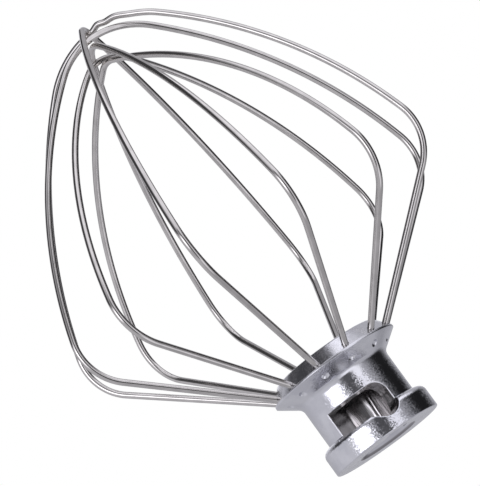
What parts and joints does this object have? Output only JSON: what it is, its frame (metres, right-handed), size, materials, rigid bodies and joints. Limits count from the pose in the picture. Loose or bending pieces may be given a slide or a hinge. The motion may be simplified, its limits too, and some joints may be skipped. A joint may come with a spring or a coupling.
{
  "type": "stand mixer wire whisk",
  "caption": "Wire whisk for a stand mixer: nested loops of round wire staked into a bright turned hub that has a flange, a waist with a bayonet pin slot, and a bore for the mixer shaft.",
  "frame": {"origin": "centre of the hub's end face, where the shaft enters", "axes": "+Z along the whisk's axis to the tips of the loops; -Y through the bayonet slot"},
  "size_m": [0.1031, 0.1035, 0.1307],
  "materials": {
    "hub": "burnished, bright, with a fine grain",
    "wire": "polished stainless wire"
  },
  "bodies": {
    "root": {"hub": "hub", "wire_loop_1": "wire", "wire_loop_2": "wire", "wire_loop_3": "wire", "wire_loop_4": "wire", "wire_loop_5": "wire", "wire_loop_6": "wire"}
  },
  "joints": []
}
